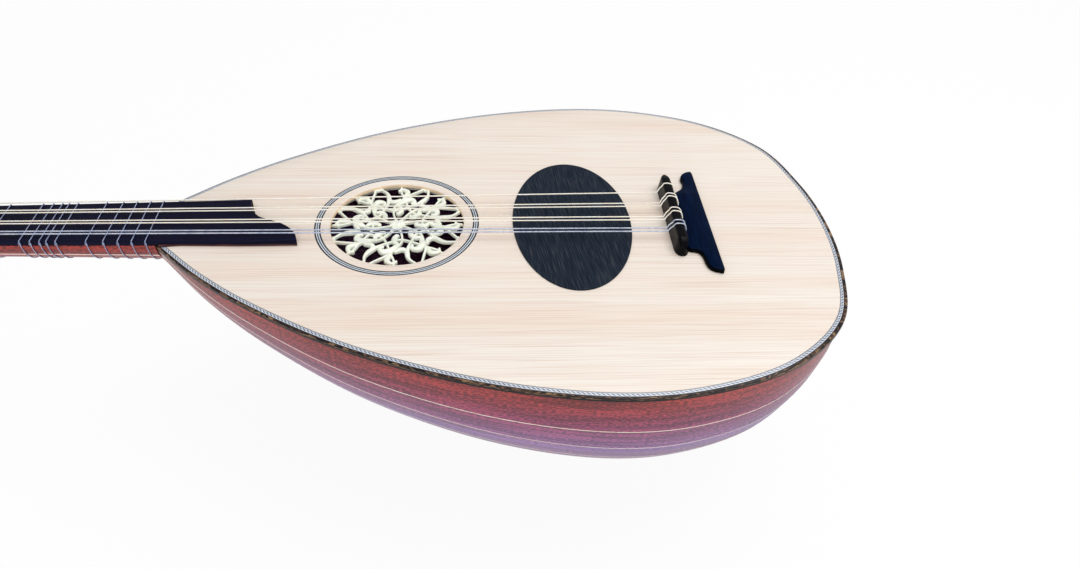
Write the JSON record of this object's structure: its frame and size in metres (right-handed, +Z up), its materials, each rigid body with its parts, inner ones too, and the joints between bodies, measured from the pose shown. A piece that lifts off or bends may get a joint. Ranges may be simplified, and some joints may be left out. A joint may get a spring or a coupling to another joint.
{
  "type": "lavta",
  "caption": "Bowl-backed plucked lute with a carved rosette, tied frets that slide along the neck, and a bent-back pegbox with lateral friction pegs.",
  "frame": {"origin": "centre of the base of the instrument's bounding box, level with the bowl's lowest point, soundboard facing up", "axes": "+X from the pegbox along the strings towards the tail, +Y towards the single string's side, +Z up out of the soundboard"},
  "size_m": [0.9194, 0.2978, 0.1692],
  "materials": {
    "soundboard_wood": "close-grained pale softwood under a thin satin finish",
    "purfling": "inlaid strip of pale and dark slips, polished",
    "rosette": "pale carved openwork, satin",
    "pickguard": "thin black-stained veneer, satin",
    "black_wood": "black polished hardwood, glossy",
    "fingerboard": "black-stained hardwood, satin",
    "nut": "pale bone, polished",
    "neck_wood": "reddish hardwood, clear polish",
    "rib_wood": "reddish-brown ribs, glossy clear polish",
    "band_wood": "dark streaked hardwood edge band, glossy",
    "inner_wood": "plain unfinished softwood",
    "peg_wood": "black turned hardwood, polished",
    "string_plain": "plain translucent cream string",
    "string_wound": "silvery close-wound string",
    "fret_gut": "bluish-white tied strand"
  },
  "bodies": {
    "instrument": {"soundboard": "soundboard_wood", "edge_purfling": "purfling", "rosette_ring": "purfling", "rosette": "rosette", "pickguard": "pickguard", "bridge": "black_wood", "fingerboard": "fingerboard", "nut": "nut", "neck": "neck_wood", "pegbox": "neck_wood", "side_band": "band_wood", "neck_block": "inner_wood", "tail_block": "inner_wood", "rib_1": "rib_wood", "rib_2": "rib_wood", "rib_3": "rib_wood", "rib_4": "rib_wood", "rib_5": "rib_wood", "rib_6": "rib_wood", "rib_7": "rib_wood", "rib_8": "rib_wood", "rib_9": "rib_wood", "rib_10": "rib_wood", "rib_11": "rib_wood", "rib_12": "rib_wood", "rib_13": "rib_wood", "rib_14": "rib_wood", "rib_15": "rib_wood", "rib_16": "rib_wood", "rib_17": "rib_wood", "rib_18": "rib_wood", "rib_19": "rib_wood", "brace_1": "inner_wood", "brace_2": "inner_wood", "brace_3": "inner_wood", "string_1": "string_plain", "string_2": "string_plain", "string_3": "string_plain", "string_4": "string_plain", "string_5": "string_plain", "string_6": "string_wound", "string_7": "string_wound"},
    "peg_1_turning": {"peg_1": "peg_wood"},
    "peg_2_turning": {"peg_2": "peg_wood"},
    "peg_3_turning": {"peg_3": "peg_wood"},
    "peg_4_turning": {"peg_4": "peg_wood"},
    "peg_5_turning": {"peg_5": "peg_wood"},
    "peg_6_turning": {"peg_6": "peg_wood"},
    "peg_7_turning": {"peg_7": "peg_wood"},
    "fret_1_sliding": {"fret_1": "fret_gut"},
    "fret_2_sliding": {"fret_2": "fret_gut"},
    "fret_3_sliding": {"fret_3": "fret_gut"},
    "fret_4_sliding": {"fret_4": "fret_gut"},
    "fret_5_sliding": {"fret_5": "fret_gut"},
    "fret_6_sliding": {"fret_6": "fret_gut"},
    "fret_7_sliding": {"fret_7": "fret_gut"},
    "fret_8_sliding": {"fret_8": "fret_gut"},
    "fret_9_sliding": {"fret_9": "fret_gut"},
    "fret_10_sliding": {"fret_10": "fret_gut"},
    "fret_11_sliding": {"fret_11": "fret_gut"}
  },
  "joints": [
    {"name": "peg_turn_1", "type": "hinge", "parent": "instrument", "child": "peg_1_turning", "pos_m": [-0.34829, 0.00085, 0.13599], "axis": [0, 1, 0], "continuous": true},
    {"name": "peg_turn_2", "type": "hinge", "parent": "instrument", "child": "peg_2_turning", "pos_m": [-0.36383, 0.00085, 0.12691], "axis": [0, -1, 0], "continuous": true},
    {"name": "peg_turn_3", "type": "hinge", "parent": "instrument", "child": "peg_3_turning", "pos_m": [-0.37938, 0.00085, 0.11784], "axis": [0, 1, 0], "continuous": true},
    {"name": "peg_turn_4", "type": "hinge", "parent": "instrument", "child": "peg_4_turning", "pos_m": [-0.39493, 0.00085, 0.10877], "axis": [0, -1, 0], "continuous": true},
    {"name": "peg_turn_5", "type": "hinge", "parent": "instrument", "child": "peg_5_turning", "pos_m": [-0.41047, 0.00085, 0.09969], "axis": [0, 1, 0], "continuous": true},
    {"name": "peg_turn_6", "type": "hinge", "parent": "instrument", "child": "peg_6_turning", "pos_m": [-0.42602, 0.00085, 0.09062], "axis": [0, -1, 0], "continuous": true},
    {"name": "peg_turn_7", "type": "hinge", "parent": "instrument", "child": "peg_7_turning", "pos_m": [-0.44156, 0.00085, 0.08155], "axis": [0, 1, 0], "continuous": true},
    {"name": "fret_slide_1", "type": "slide", "parent": "instrument", "child": "fret_1_sliding", "axis": [1, 0, 0.0047], "range_m": [-0.0015, 0.0015]},
    {"name": "fret_slide_2", "type": "slide", "parent": "instrument", "child": "fret_2_sliding", "axis": [1, 0, 0.0047], "range_m": [-0.0015, 0.0015]},
    {"name": "fret_slide_3", "type": "slide", "parent": "instrument", "child": "fret_3_sliding", "axis": [1, 0, 0.0047], "range_m": [-0.0015, 0.0015]},
    {"name": "fret_slide_4", "type": "slide", "parent": "instrument", "child": "fret_4_sliding", "axis": [1, 0, 0.0047], "range_m": [-0.0015, 0.0015]},
    {"name": "fret_slide_5", "type": "slide", "parent": "instrument", "child": "fret_5_sliding", "axis": [1, 0, 0.0047], "range_m": [-0.0015, 0.0015]},
    {"name": "fret_slide_6", "type": "slide", "parent": "instrument", "child": "fret_6_sliding", "axis": [1, 0, 0.0047], "range_m": [-0.0015, 0.0015]},
    {"name": "fret_slide_7", "type": "slide", "parent": "instrument", "child": "fret_7_sliding", "axis": [1, 0, 0.0047], "range_m": [-0.0015, 0.0015]},
    {"name": "fret_slide_8", "type": "slide", "parent": "instrument", "child": "fret_8_sliding", "axis": [1, 0, 0.0047], "range_m": [-0.0015, 0.0015]},
    {"name": "fret_slide_9", "type": "slide", "parent": "instrument", "child": "fret_9_sliding", "axis": [1, 0, 0.0047], "range_m": [-0.0015, 0.0015]},
    {"name": "fret_slide_10", "type": "slide", "parent": "instrument", "child": "fret_10_sliding", "axis": [1, 0, 0.0047], "range_m": [-0.0015, 0.0015]},
    {"name": "fret_slide_11", "type": "slide", "parent": "instrument", "child": "fret_11_sliding", "axis": [1, 0, 0.0047], "range_m": [-0.0015, 0.0015]}
  ]
}
